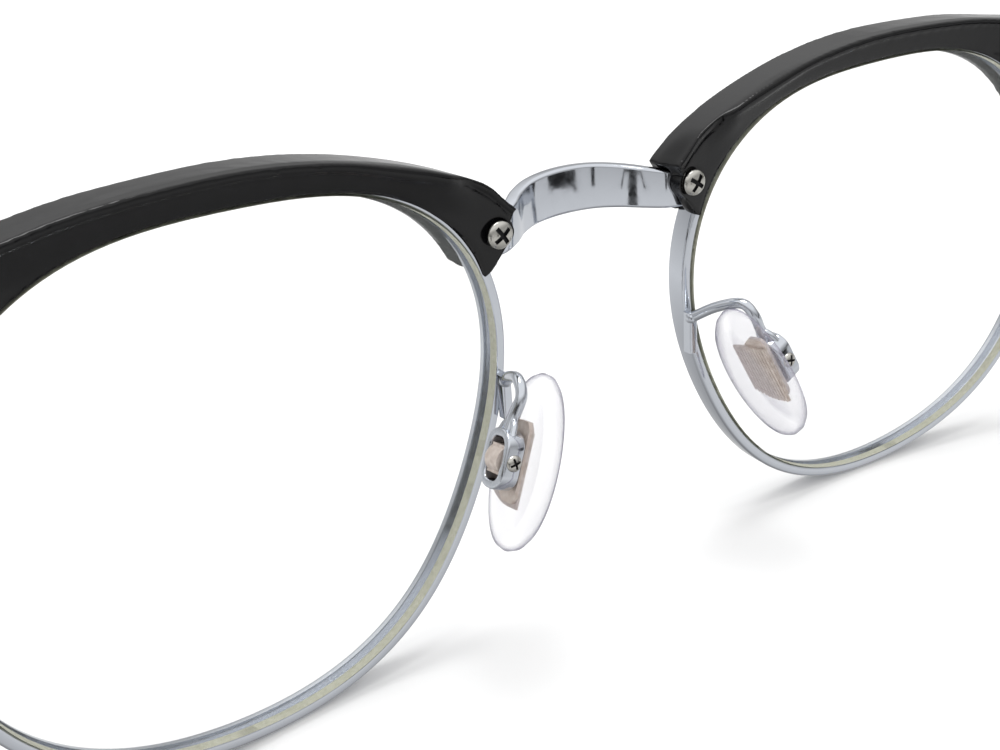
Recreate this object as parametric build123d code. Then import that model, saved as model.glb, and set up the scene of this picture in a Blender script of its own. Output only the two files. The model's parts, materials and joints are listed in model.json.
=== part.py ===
from build123d import *
import os
from math import atan2, cos, degrees, hypot, pi, radians, sin

os.makedirs("parts", exist_ok=True)

# Lens outline, in millimetres. The outline is a polar wave series, stretched
# to the width and height below. Angle 0 points to the temple, 90 degrees up.
lens_width = 48.2        # clear width inside the rim
lens_height = 43.0
bridge_width = 22.4      # between the two openings
mean_radius = 23.1
waves = ((1, 0.51, 0.74), (2, 1.17, -0.47), (3, 0.06, 0.72), (4, -0.45, -0.31))
face_radius = 162.0      # radius of the curved face that lenses and rims follow
face_wrap = 4.5          # degrees each lens turns back toward its temple

# Rim and lens
rim_thickness = 1.1
rim_depth = 2.3
groove_depth = 0.5
groove_width = 1.0
lens_front = 0.65
lens_rear = 1.35
lens_clearance = 0.04
split_gap = 0.2

# Brow bar
brow_front = 2.4         # depth in front of the middle of the rim
brow_rear = 1.8
crown = ((147, 5.7), (142, 4.75), (135, 3.6), (125, 2.75), (112, 2.65), (96, 2.85))
crown += ((78, 2.85), (65, 3.3), (55, 4.3))
lip_drop = 0.35          # how far the front lip hangs inside the rim
rear_lip_offset = 0.15   # lower edge of the rear lip, outside the opening
tongue_offset = 1.2      # the same edge beside the nasal tongue
rebate_depth = 0.45
rebate_width = 0.7
slot_clearance = 0.03

# End piece and hinge, in the hinge frame: x outward, y back, z up
hinge_outset = 4.4       # pin outside the lens opening
hinge_setback = 5.3      # pin behind the curved face
hinge_drop = 7.5         # pin below the top of the opening
pantoscopic_angle = 8.0
knuckle_radius = 1.4
knuckle_height = 1.3
knuckle_gap = 0.05
pin_radius = 0.6
running_clearance = 0.05
face_gap = 0.1           # between the temple's end and the end piece
leaf_thickness = 0.9
leaf_height = 6.7
front_leaf_width = 6.1
temple_leaf_length = 12.0
rivet_radius = 0.6
rivet_spacing = 3.6

# Temple
temple_length = 138.0
temple_bend = 90.0
bend_angle = 38.0
bend_radius = 16.0
temple_front_height = 9.5
temple_mid_height = 5.4
temple_tip_height = 7.0
temple_front_thickness = 4.1
temple_relief = 0.3      # inner face behind the hinge, set back from the front end
temple_tip_thickness = 3.0
core_height = 2.0
core_thickness = 1.0

# Bridge
bridge_height = 4.2
bridge_thickness = 1.2
bridge_bow = 3.9
bridge_drop = 7.0        # middle of the band below the top of the opening
bridge_top_arch = 0.016  # fall of the top edge per square millimetre from the middle
bridge_low_arch = 0.007
slot_forward = 0.75      # bridge lug in front of the middle of the rim

# Fasteners
screw_head_radius = 1.2
screw_head_height = 0.8
screw_radius = 0.6
nasal_screw_inset = 0.7  # screw inside the lens opening's nasal edge
nasal_screw_drop = 7.3

# Nose pad, in the pad frame: x along its width, y along its length, z outward
pad_outset = 1.95        # pad centre outside the nasal edge of the opening
pad_back = 7.95
pad_low = 3.4
pad_long_axis = (0.423, 0.123, -0.898)
pad_normal = (0.90, -0.09, 0.41)
pad_length = 15.0
pad_width = 7.6
pad_thickness = 2.2
insert_length = 8.4
insert_width = 3.8
insert_thickness = 0.5
lug_length = 2.4
lug_width = 1.8
box_length = 5.0
box_width = 3.4
box_height = 1.7
box_wall = 0.7
box_gap = 0.5            # between the pad and its box
pad_pivot = 1.3          # height of the screw above the pad
pad_screw_radius = 0.4
arm_radius = 0.5

lens_x = (lens_width + bridge_width) / 2
lens_place = Pos(lens_x, 0, 0) * Rot(0, 0, face_wrap)
nasal_edge = bridge_width / 2
nasal_screw_x = nasal_edge - nasal_screw_inset
nasal_screw_z = lens_height / 2 - nasal_screw_drop
hinge_u = lens_width / 2 + hinge_outset
hinge_x = lens_x + hinge_u
hinge_y = hinge_u * sin(radians(face_wrap)) + hinge_u ** 2 / (2 * face_radius) + hinge_setback
hinge_z = lens_height / 2 - hinge_drop
split_height = hinge_z - 4.4     # cut where the lock closes the rim
bridge_middle_z = lens_height / 2 - bridge_drop
pad_centre = (nasal_edge + pad_outset, pad_back, -pad_low)


# Lens outline
def raw_radius(angle):
    return mean_radius + sum(a * cos(n * angle) + b * sin(n * angle) for n, a, b in waves)


def raw_slope(angle):
    return sum(-n * a * sin(n * angle) + n * b * cos(n * angle) for n, a, b in waves)


turns = [radians(step) for step in range(360)]
raw_u = [raw_radius(angle) * cos(angle) for angle in turns]
raw_w = [raw_radius(angle) * sin(angle) for angle in turns]
stretch_u = lens_width / (max(raw_u) - min(raw_u))
stretch_w = lens_height / (max(raw_w) - min(raw_w))
shift_u = -stretch_u * (max(raw_u) + min(raw_u)) / 2
shift_w = -stretch_w * (max(raw_w) + min(raw_w)) / 2


def outline(angle, offset=0.0):
    r = raw_radius(angle)
    slope = raw_slope(angle)
    du = stretch_u * (slope * cos(angle) - r * sin(angle))
    dw = stretch_w * (slope * sin(angle) + r * cos(angle))
    size = hypot(du, dw)
    u = stretch_u * r * cos(angle) + shift_u + offset * dw / size
    w = stretch_w * r * sin(angle) + shift_w - offset * du / size
    return u, w


def face_depth(u, w):
    return (u * u + w * w) / (2 * face_radius)


def angle_at(height, temporal):
    best = None
    for step in range(900):
        angle = radians(step * 0.1)
        if not temporal:
            angle = pi - angle
        miss = abs(outline(angle)[1] - height)
        if best is None or miss < best[0]:
            best = (miss, angle)
    return best[1]


# Everything that lies on the curved face is a straight prism, cut to a shell.
def prism(face):
    return extrude(face, 30, dir=(0, 1, 0), both=True)


def disc(offset):
    points = [(u, 0, w) for u, w in (outline(2 * pi * i / 36, offset) for i in range(36))]
    return prism(make_face(Spline(points, periodic=True)))


def shell(front, rear):
    outer = Sphere(face_radius + front)
    inner = Sphere(face_radius - rear)
    return Pos(0, face_radius, 0) * (outer - inner)


def rim_shape():
    ring = (disc(rim_thickness) - disc(0)) & shell(rim_depth / 2, rim_depth / 2)
    groove = disc(groove_depth) & shell(groove_width / 2, groove_width / 2)
    u, w = outline(angle_at(split_height, True))
    split = Pos(u, face_depth(u, w), split_height) * Box(6, 8, split_gap)
    return ring - groove - split


def lens_shape():
    body = disc(-lens_clearance) & shell(lens_front, lens_rear)
    edge = groove_width / 2 - lens_clearance
    bevel = disc(groove_depth - lens_clearance) & shell(edge, edge)
    return body + bevel


# Rim lock, outside the rim at the temple side
lock_angle = angle_at(split_height, True)
rim_edge_u = outline(lock_angle, rim_thickness)[0]
lock_u = rim_edge_u + 1.85
temporal_u = rim_edge_u + 1.05
lock_y = face_depth(lock_u, split_height)
lock_low = 1.9
lock_high = 4.1
lock_depth = 2.0
temporal_screw_w = split_height + 2.6


def lock_box(low, high, grow=0.0):
    middle = split_height + (low + high) / 2
    width = 3.4 + 2 * grow
    block = Box(width, lock_depth + 2 * grow, high - low + 2 * grow)
    return Pos(rim_edge_u + 1.3, lock_y, middle) * block


def lock_blocks():
    lower = lock_box(-lock_low, -split_gap / 2)
    upper = lock_box(split_gap / 2, lock_high)
    hole = Pos(lock_u, lock_y, split_height) * Cylinder(0.5, 5.2)
    cross = Pos(temporal_u, lock_y, temporal_screw_w) * Rot(90, 0, 0)
    cross = cross * Cylinder(screw_radius, 12)
    both = []
    for block in (lower, upper):
        both.append(block - disc(rim_thickness) - hole - cross)
    return both


def lock_screw():
    place = Pos(lock_u, lock_y, split_height)
    shaft = Cylinder(0.5, 5.2) & Pos(0, 0, -0.6) * Box(4, 4, 4)
    head = Pos(0, 0, -lock_low - 0.35) * Cylinder(0.8, 0.7)
    return place * (shaft + head)


# Brow bar, drawn in the lens frame
wing_u = hinge_u + 5.7
wing_top = hinge_z + 6.3
wing_low = hinge_z - 5.0
screw_u = nasal_screw_x - lens_x


def beside_screw(along, above):
    return screw_u + along, nasal_screw_z + above


def brow_face(drop=0.0):
    top = [beside_screw(-2.4, 1.8 - drop)]
    top += [outline(radians(angle), rise - drop) for angle, rise in crown]
    top += [(wing_u - 10, wing_top + 2 - drop), (wing_u, wing_top - drop)]
    nose = [beside_screw(2.3, -2.6), beside_screw(0.8, -3.3), beside_screw(-0.4, -2.6)]
    nose += [beside_screw(-1.2, -1.4), beside_screw(-1.6, 0.4), top[0]]
    upper = Spline([(u, 0, w) for u, w in top])
    lower = Spline([(u, 0, w) for u, w in nose])
    closing = [top[-1], (wing_u - 0.3, wing_low + 1), (wing_u - 2, wing_low)]
    closing += [(hinge_u - 7, wing_low - 0.3), (0, 12), beside_screw(6, -1.7), nose[0]]
    edge = Polyline([(u, 0, w) for u, w in closing])
    return make_face(upper + lower + edge)


def end_block():
    # Back of the end piece: flat and square to the temple
    height = wing_top - wing_low
    low = -knuckle_radius
    high = wing_u - hinge_u
    block = Box(high - low, 12, height + 3)
    return Pos((low + high) / 2, back_face - 6, 0) * block


hinge_place = Pos(hinge_x, hinge_y, hinge_z) * Rot(-pantoscopic_angle, 0, 0)


def slot_y(x):
    u = x - lens_x
    depth = u * sin(radians(face_wrap)) + face_depth(u, bridge_middle_z)
    return depth - slot_forward


def bridge_points():
    bow = slot_y(nasal_edge) - bridge_bow + 0.2
    line = [(0, bow), (0.29 * nasal_edge, bow + 0.1 * bridge_bow)]
    line += [(0.5 * nasal_edge, bow + 0.4 * bridge_bow), (0.65 * nasal_edge, bow + 0.75 * bridge_bow)]
    for x in (0.81 * nasal_edge, nasal_edge, nasal_edge + 6):
        line.append((x, slot_y(x)))
    left = [(-x, y) for x, y in reversed(line[1:])]
    return left + line


def arch(middle, fall, width):
    return [(-width, middle - fall * width ** 2), (0, middle), (width, middle - fall * width ** 2)]


def bridge_profile(grow, drop):
    # Front outline of the band, arched above and below
    width = nasal_edge + 7
    half = bridge_height / 2
    top = arch(bridge_middle_z + half + grow, bridge_top_arch, width)
    low = arch(bridge_middle_z - half - drop, bridge_low_arch, width)
    top = [(x, 0, z) for x, z in top]
    low = [(x, 0, z) for x, z in low]
    sides = [Line(top[0], low[0]), Line(top[-1], low[-1])]
    face = make_face([ThreePointArc(*top), ThreePointArc(*low)] + sides)
    return prism(face)


def bridge_band(grow=0.0, drop=0.0):
    half = bridge_thickness / 2 + grow
    low = bridge_middle_z - 20
    curve = Spline([(x, y, low) for x, y in bridge_points()])
    count = 40
    front = []
    back = []
    for i in range(count + 1):
        at = curve @ (i / count)
        along = curve % (i / count)
        front.append((at.X + half * along.Y, at.Y - half * along.X, low))
        back.append((at.X - half * along.Y, at.Y + half * along.X, low))
    side_a = Spline(front)
    side_b = Spline(back)
    ends = [Line(front[0], back[0]), Line(front[-1], back[-1])]
    face = make_face([side_a, side_b] + ends)
    return extrude(face, 30, dir=(0, 0, 1)) & bridge_profile(grow, drop)


def bridge_shape():
    band = bridge_band()
    for side in (1, -1):
        keep_out = lens_place * disc(rim_thickness)
        hole = screw_line() * Cylinder(screw_radius, 8)
        if side < 0:
            keep_out = mirror(keep_out, about=Plane.YZ)
            hole = mirror(hole, about=Plane.YZ)
        band = band - keep_out - hole
    return band


def screw_line():
    return Pos(nasal_screw_x, brow_back_y, nasal_screw_z) * Rot(-90, 0, 0)


nasal_u = (nasal_screw_x - lens_x) / cos(radians(face_wrap))
brow_back_y = nasal_u * sin(radians(face_wrap)) + face_depth(nasal_u, nasal_screw_z) + brow_rear
tongue_thickness = 2.9


def phillips(radius, height, shaft_radius, shaft_length, slot=0.3):
    head = Pos(0, 0, height / 2) * Cylinder(radius, height)
    head = fillet(head.edges().sort_by(Axis.Z)[-1], height * 0.55)
    for turn in (0, 90):
        cut = Pos(0, 0, height) * Rot(0, 0, turn) * Box(radius * 1.3, slot, height)
        head = head - cut
    shaft = Pos(0, 0, -shaft_length / 2) * Cylinder(shaft_radius, shaft_length)
    return head + shaft


def nasal_screw():
    screw = phillips(screw_head_radius, screw_head_height, screw_radius, tongue_thickness)
    return screw_line() * Pos(0, 0, -0.1) * screw


def temporal_line():
    back = lock_y + brow_rear - 0.1
    return lens_place * Pos(temporal_u, back, temporal_screw_w) * Rot(-90, 0, 0)


def temporal_screw():
    return temporal_line() * phillips(1.0, 0.6, screw_radius, 3.4, 0.25)


def rear_opening():
    # Edge of the rear lip: close to the opening above, clear of the rim at the tongue
    points = []
    for i in range(36):
        angle = 2 * pi * i / 36
        part = min(max((degrees(angle) - 116) / 24, 0), 1)
        rise = part * part * (3 - 2 * part) * (tongue_offset - rear_lip_offset)
        u, w = outline(angle, rear_lip_offset + rise)
        points.append((u, 0, w))
    return prism(make_face(Spline(points, periodic=True)))


def brow_shape():
    bar = prism(brow_face()) & shell(brow_front, brow_rear)
    bar = lens_place * bar
    block = hinge_place * end_block()
    wing = lens_place * (prism(brow_face()) & Pos(0, 0, 0) * shell(brow_front, 30))
    bar = bar + (block & wing)
    behind = Pos(5, back_face + 5, 0) * Box(16, 10, 40)
    bar = bar - hinge_place * behind
    step = lens_place * (prism(brow_face()) & shell(-brow_rear + rebate_depth, 3))
    step = step - lens_place * prism(brow_face(rebate_width))
    step = step - Pos(lens_x + wing_u - 4, 0, hinge_z) * Box(12, 60, 60)
    bar = bar - step
    rim_slot = disc(rim_thickness + slot_clearance)
    rim_slot = rim_slot & shell(rim_depth / 2 + slot_clearance, rim_depth / 2 + slot_clearance)
    front_opening = disc(-lip_drop)
    rear_cover = rear_opening() & shell(0.1 - rim_depth / 2, 12)
    bar = bar - lens_place * rim_slot - lens_place * front_opening - lens_place * rear_cover
    bar = bar - bridge_band(slot_clearance, 10)
    # Pocket for the rim lock, open below for its screw
    pocket = lock_box(-lock_low - 4, lock_high, 0.1)
    bar = bar - lens_place * pocket
    # Seats and holes for the screws, leaf and rivets
    seat = Pos(0, 0, 0.9) * Cylinder(screw_head_radius + 0.05, 2)
    bar = bar - screw_line() * seat
    bar = bar - screw_line() * Pos(0, 0, -2) * Cylinder(screw_radius, 4)
    seat = Pos(0, 0, 5) * Cylinder(1.05, 10)
    bar = bar - temporal_line() * seat
    bar = bar - temporal_line() * Pos(0, 0, -2) * Cylinder(screw_radius, 4)
    bar = bar - hinge_place * front_plate()
    for rivet in brow_rivets():
        bar = bar - rivet
    return bar


# Hinge, in the hinge frame
back_face = -(knuckle_radius + 0.2 + face_gap + 0.05)


def front_plate():
    width = front_leaf_width
    x = width / 2 - knuckle_radius
    plate = Box(width, leaf_thickness, leaf_height)
    return Pos(x, back_face - leaf_thickness / 2, 0) * plate


def knuckle(index, inner_radius):
    pitch = knuckle_height + knuckle_gap
    place = Pos(0, 0, (index - 2) * pitch)
    return place * (Cylinder(knuckle_radius, knuckle_height)), place


def front_leaf():
    leaf = front_plate()
    for index in (0, 2, 4):
        barrel, place = knuckle(index, pin_radius)
        reach = -back_face + leaf_thickness
        tab = Box(2 * knuckle_radius, reach, knuckle_height)
        leaf = leaf + barrel + place * Pos(0, -reach / 2, 0) * tab
    leaf = leaf - Cylinder(pin_radius, 12)
    for x, z in rivet_spots():
        leaf = leaf - Pos(x, 0, z) * Rot(90, 0, 0) * Cylinder(rivet_radius, 12)
    return hinge_place * leaf


def rivet_spots():
    x = front_leaf_width - knuckle_radius - 1.2
    return [(x, -rivet_spacing / 2), (x, rivet_spacing / 2)]


def brow_rivets():
    front = lens_place * shell(brow_front + 0.15, 30)
    rivets = []
    for x, z in rivet_spots():
        pin = Pos(x, back_face - 10, z) * Rot(90, 0, 0) * Cylinder(rivet_radius, 20)
        rivets.append((hinge_place * pin) & front)
    return rivets


def hinge_screw():
    tall = 5 * knuckle_height + 4 * knuckle_gap
    screw = phillips(1.15, 0.5, pin_radius, tall, 0.25)
    return hinge_place * Pos(0, 0, tall / 2) * screw


inner_face = knuckle_radius + 0.2


def temple_plate():
    length = temple_leaf_length
    start = -knuckle_radius
    plate = Box(leaf_thickness, length, leaf_height)
    return Pos(inner_face + leaf_thickness / 2, start + length / 2, 0) * plate


def temple_leaf():
    leaf = temple_plate()
    for index in (1, 3):
        barrel, place = knuckle(index, pin_radius)
        reach = inner_face + leaf_thickness
        tab = Box(reach, 2 * knuckle_radius, knuckle_height)
        leaf = leaf + barrel + place * Pos(reach / 2, 0, 0) * tab
    leaf = leaf - Cylinder(pin_radius + running_clearance, 12)
    for pin in temple_pins(0):
        leaf = leaf - pin
    return hinge_place * leaf


def temple_pins(extra):
    pins = []
    for y in (4.5, 4.5 + rivet_spacing):
        length = temple_front_thickness + extra
        middle = inner_face + length / 2
        pins.append(Pos(middle, y, 0) * Rot(0, 90, 0) * Cylinder(rivet_radius, length))
    return pins


# Temple: a centre line that bends down behind the ear
def temple_line(s):
    turn = radians(bend_angle)
    arc = bend_radius * turn
    if s <= temple_bend:
        return s, 0.0, 0.0
    part = min(s - temple_bend, arc)
    a = part / bend_radius
    y = temple_bend + bend_radius * sin(a)
    z = -bend_radius * (1 - cos(a))
    rest = s - temple_bend - part
    return y + rest * cos(a), z - rest * sin(a), a


def temple_half_height(s):
    if s < 60:
        front = temple_front_height / 2
        return front + (temple_mid_height / 2 - front) * sin(pi / 2 * max(s, 0) / 60)
    grow = max(0, s - temple_bend) / (temple_length - temple_bend)
    return temple_mid_height / 2 + (temple_tip_height - temple_mid_height) / 2 * grow


def temple_stations(start, end, count, half):
    top = []
    low = []
    for i in range(count + 1):
        s = start + (end - start) * i / count
        y, z, a = temple_line(s)
        h = half(s)
        top.append((0, y + h * sin(a), z + h * cos(a)))
        low.append((0, y - h * sin(a), z - h * cos(a)))
    return top, low


def temple_profile():
    end = temple_length - temple_tip_height / 2
    start = face_gap + back_face
    top, low = temple_stations(start, end, 16, temple_half_height)
    y, z, a = temple_line(temple_length)
    cap = ThreePointArc(top[-1], (0, y, z), low[-1])
    face = make_face([Spline(top), cap, Spline(low), Line(top[0], low[0])])
    return extrude(face, 20, dir=(1, 0, 0), both=True)


def temple_plan():
    start = face_gap + back_face
    outer = inner_face + temple_front_thickness
    tip = inner_face + temple_tip_thickness
    inside = inner_face + temple_relief
    points = [(inner_face, start, 0), (outer, start, 0), (outer, 20, 0)]
    points += [(tip + 0.3, 75, 0), (tip, temple_length + 5, 0), (inside, temple_length + 5, 0)]
    points += [(inside, 26, 0), (inner_face, 18, 0)]
    face = make_face(Polyline(points, close=True))
    return extrude(face, 80, dir=(0, 0, 1), both=True)


def core_solid():
    top, low = temple_stations(temple_leaf_length + 4, temple_length - 10, 14, lambda s: core_height / 2)
    ends = [Line(top[0], low[0]), Line(top[-1], low[-1])]
    face = make_face([Spline(top), Spline(low)] + ends)
    bar = extrude(face, core_thickness, dir=(1, 0, 0))
    return Pos(inner_face + 1.0, 0, 0) * bar


def temple_shape():
    body = temple_profile() & temple_plan()
    body = body - temple_plate() - core_solid()
    for pin in temple_pins(0.15):
        body = body - pin
    return hinge_place * body


# Nose pad and its holder
pad_frame = Plane(origin=pad_centre, x_dir=-Vector(*pad_long_axis).cross(Vector(*pad_normal)), z_dir=pad_normal)
pad_place = pad_frame.location
pivot_z = pad_thickness / 2 + pad_pivot
box_mid = pad_thickness / 2 + box_gap + box_height / 2


def pad_solid():
    face = Ellipse(pad_width / 2, pad_length / 2)
    pad = Pos(0, 0, -pad_thickness / 2) * extrude(face, pad_thickness)
    pad = fillet(pad.edges(), pad_thickness * 0.4)
    return pad


def insert_plate():
    plate = Box(insert_width, insert_length, insert_thickness)
    return Pos(0, 0, pad_thickness / 2 - insert_thickness / 2) * plate


def pad_insert():
    top = pivot_z + lug_length / 2
    low = pad_thickness / 2 - insert_thickness
    lug = Box(lug_width, lug_length, pivot_z - low)
    lug = Pos(0, 0, (pivot_z + low) / 2) * lug
    crown = Pos(0, 0, pivot_z) * Rot(0, 90, 0) * Cylinder(0.95, lug_width)
    shape = insert_plate() + lug + crown
    hole = Pos(0, 0, pivot_z) * Rot(0, 90, 0) * Cylinder(pad_screw_radius + running_clearance, 8)
    return pad_place * (shape - hole)


def pad_box():
    outer = Box(box_width, box_length, box_height)
    outer = fillet(outer.edges().filter_by(Axis.Z), 0.9)
    inner = Box(box_width - 2 * box_wall, box_length - 2 * box_wall, box_height + 1)
    shape = Pos(0, 0, box_mid) * (outer - inner)
    hole = Pos(0, 0, pivot_z) * Rot(0, 90, 0) * Cylinder(pad_screw_radius, 8)
    return pad_place * (shape - hole)


def pad_screw():
    screw = phillips(0.7, 0.35, pad_screw_radius, box_width, 0.2)
    return pad_place * Pos(box_width / 2, 0, pivot_z) * Rot(0, 90, 0) * screw


def arm_path():
    box_top = pad_place * Pos(0, box_length / 2 - box_wall / 2, box_mid)
    end = box_top.position
    points = [(nasal_edge - 0.6, rim_depth / 2 + 0.4, 1.1), (nasal_edge + 0.4, 3.8, 2.5)]
    for x, y, z in ((-0.6, -1.65, 7.2), (-0.2, -0.55, 5.9), (0.6, -0.55, 4.2)):
        points.append((pad_centre[0] + x, pad_centre[1] + y, pad_centre[2] + z))
    points.append((end.X, end.Y, end.Z))
    return points


def pad_arm():
    path = Spline(arm_path())
    start = Plane(origin=path @ 0, z_dir=path % 0)
    wire = sweep(start * Circle(arm_radius), path=path)
    base = Pos(nasal_edge - 0.6, rim_depth / 2 + 0.2, -0.4) * Box(0.9, 1.1, 4.0)
    return wire + base


# Assembly in the front frame, left side first
left = {}
left["brow"] = brow_shape()
left["rim"] = lens_place * rim_shape()
left["lens"] = lens_place * lens_shape()
left["rim_lock_blocks"] = Compound([lens_place * block for block in lock_blocks()])
left["rim_lock_screw"] = lens_place * lock_screw()
left["pad_box"] = pad_box()
left["pad_arm"] = pad_arm() - left["rim"] - left["pad_box"]
left["pad_insert"] = pad_insert()
left["nose_pad"] = pad_place * (pad_solid() - insert_plate())
left["pad_screw"] = pad_screw()
left["nasal_brow_screw"] = nasal_screw()
left["temporal_brow_screw"] = temporal_screw()
left["hinge_front_leaf"] = front_leaf()
left["hinge_temple_leaf"] = temple_leaf()
left["hinge_screw"] = hinge_screw()
left["brow_rivets"] = Compound(brow_rivets())
left["temple_rivets"] = Compound([hinge_place * pin for pin in temple_pins(0.15)])
left["temple"] = temple_shape()
left["temple_core"] = hinge_place * core_solid()

nodes = {"bridge": bridge_shape()}
for name, shape in left.items():
    nodes["left_" + name] = shape
    nodes["right_" + name] = mirror(shape, about=Plane.YZ)

# Stand the frame on its rims and temple tips, centred on the floor
rim_box = left["rim"].bounding_box()
temple_box = left["temple"].bounding_box()
rim_low_y = face_depth(0, lens_height / 2)
lean = atan2(temple_box.min.Z - rim_box.min.Z, temple_box.max.Y - 10 - rim_low_y)
lean_turn = Rot(-degrees(lean), 0, 0)
turned = Compound([lean_turn * shape for shape in nodes.values()])
box = turned.bounding_box()
rest = Pos(0, -(box.min.Y + box.max.Y) / 2, -box.min.Z)
print("lean", -degrees(lean), "move", rest.position, "size", box.size)

for name, shape in nodes.items():
    export_step(rest * lean_turn * shape, f"parts/{name}.step")
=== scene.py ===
import bpy
import bmesh
import json
from math import atan2, cos, degrees, hypot, pi, radians, sin, sqrt
from mathutils import Matrix, Vector


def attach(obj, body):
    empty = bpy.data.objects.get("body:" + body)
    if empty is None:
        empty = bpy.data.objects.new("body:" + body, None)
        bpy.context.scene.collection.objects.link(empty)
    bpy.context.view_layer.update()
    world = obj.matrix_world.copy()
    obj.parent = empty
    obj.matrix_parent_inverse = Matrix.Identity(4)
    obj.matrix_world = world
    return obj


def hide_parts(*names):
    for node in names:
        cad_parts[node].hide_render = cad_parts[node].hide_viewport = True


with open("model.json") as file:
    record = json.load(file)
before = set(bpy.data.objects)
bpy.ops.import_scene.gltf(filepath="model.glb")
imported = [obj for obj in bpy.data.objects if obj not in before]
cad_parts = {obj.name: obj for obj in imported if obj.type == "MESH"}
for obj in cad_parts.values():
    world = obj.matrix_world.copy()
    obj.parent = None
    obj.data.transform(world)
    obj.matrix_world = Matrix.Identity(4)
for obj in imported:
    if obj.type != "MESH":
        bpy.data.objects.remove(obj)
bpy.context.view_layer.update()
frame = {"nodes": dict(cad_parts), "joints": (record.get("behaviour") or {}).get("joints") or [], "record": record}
nodes = frame["nodes"]
joints = {joint["name"]: joint for joint in frame["joints"]}
print("stage: frame loaded,", len(nodes), "CAD nodes")


# Colours and nodes
def hexColour(text, alpha=1.0):
    parts = [int(text[i:i + 2], 16) / 255 for i in (0, 2, 4)]
    return [p / 12.92 if p < 0.04045 else ((p + 0.055) / 1.055) ** 2.4 for p in parts] + [alpha]


def addNode(tree, kind, values=None, links=None, **settings):
    node = tree.nodes.new(kind)
    for key, value in settings.items():
        setattr(node, key, value)
    for key, value in (values or {}).items():
        node.inputs[key].default_value = value
    for key, source in (links or {}).items():
        tree.links.new(source, node.inputs[key])
    return node


def newMaterial(name, values):
    material = bpy.data.materials.new(name)
    material.use_nodes = True
    tree = material.node_tree
    shader = tree.nodes["Principled BSDF"]
    for key, value in values.items():
        shader.inputs[key].default_value = value
    place = addNode(tree, "ShaderNodeTexCoord").outputs["Object"]
    return material, tree, shader, place


def spread(tree, place, scaleMm, detail, low, high):
    # Noise with a grain of scaleMm, turned into a value between low and high
    noise = addNode(tree, "ShaderNodeTexNoise", {"Scale": 1000 / scaleMm, "Detail": detail},
                    {"Vector": place})
    reach = addNode(tree, "ShaderNodeMapRange", {"From Min": 0.3, "From Max": 0.7, "To Min": low,
                                                 "To Max": high}, {"Value": noise.outputs["Fac"]})
    return noise, reach.outputs["Result"]


def bumpFrom(tree, shader, height, heightMm, strength=1.0):
    bump = addNode(tree, "ShaderNodeBump", {"Strength": strength, "Distance": heightMm / 1000},
                   {"Height": height})
    tree.links.new(bump.outputs["Normal"], shader.inputs["Normal"])


def colourFrom(tree, shader, value, stops):
    ramp = addNode(tree, "ShaderNodeValToRGB", {}, {"Fac": value})
    for element, (at, text) in zip(ramp.color_ramp.elements, stops):
        element.position = at
        element.color = hexColour(text)
    tree.links.new(ramp.outputs["Color"], shader.inputs["Base Color"])


# Cellulose acetate, tumbled and hand polished: deep black, with a soft edge to its gloss
acetate, tree, shader, place = newMaterial("black cellulose acetate, polished", {
    "Roughness": 0.13, "IOR": 1.48, "Specular IOR Level": 0.36,
})
noise, value = spread(tree, place, 1.6, 6, 0.09, 0.18)
tree.links.new(value, shader.inputs["Roughness"])
colourFrom(tree, shader, noise.outputs["Fac"], ((0.3, "060607"), (0.75, "0C0C0E")))
noise, value = spread(tree, place, 0.9, 3, 0.0, 1.0)
bumpFrom(tree, shader, value, 0.004, 0.5)

# Chrome plate on nickel silver: cool, mirror smooth, with the faint waviness of buffing
chrome, tree, shader, place = newMaterial("bright chrome plate, buffed", {
    "Base Color": hexColour("CDD1D8"), "Metallic": 1.0, "Roughness": 0.1,
})
noise, value = spread(tree, place, 0.8, 4, 0.07, 0.15)
tree.links.new(value, shader.inputs["Roughness"])
noise, value = spread(tree, place, 1.2, 2, 0.0, 1.0)
bumpFrom(tree, shader, value, 0.004, 0.6)

# Stainless steel screws, turned and tumbled: slightly warm and less bright than the plate
screwSteel, tree, shader, place = newMaterial("stainless steel, turned", {
    "Base Color": hexColour("C4C2BC"), "Metallic": 1.0, "Roughness": 0.18,
})
noise, value = spread(tree, place, 0.25, 3, 0.14, 0.28)
tree.links.new(value, shader.inputs["Roughness"])
bumpFrom(tree, shader, value, 0.004, 0.6)

# Nickel silver of the hinges and rivets: satin, slightly yellow, brushed along its length
nickelSilver, tree, shader, place = newMaterial("nickel silver, brushed", {
    "Base Color": hexColour("B8B3A6"), "Metallic": 1.0, "Roughness": 0.3,
})
stretched = addNode(tree, "ShaderNodeMapping", {"Scale": (6.0, 0.6, 6.0)}, {"Vector": place})
noise, value = spread(tree, stretched.outputs["Vector"], 1.0, 4, 0.22, 0.42)
tree.links.new(value, shader.inputs["Roughness"])
bumpFrom(tree, shader, value, 0.006, 0.6)

# PMMA demo lens, cast and polished: clear, with only a faint film of gloss
lensClear, tree, shader, place = newMaterial("clear demo lens, PMMA", {
    "Base Color": hexColour("F4F8F6"), "Roughness": 0.02, "IOR": 1.49, "Alpha": 0.05,
})
noise, value = spread(tree, place, 9.0, 3, 0.01, 0.05)
tree.links.new(value, shader.inputs["Roughness"])

# Ground lens edge: matt, pale olive where light is caught inside the sheet
lensEdge, tree, shader, place = newMaterial("ground lens edge", {
    "Roughness": 0.55, "IOR": 1.49,
})
noise, value = spread(tree, place, 0.35, 5, 0.0, 1.0)
colourFrom(tree, shader, noise.outputs["Fac"], ((0.3, "A2A28E"), (0.7, "B4B4A4")))
bumpFrom(tree, shader, value, 0.004, 0.5)

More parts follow.
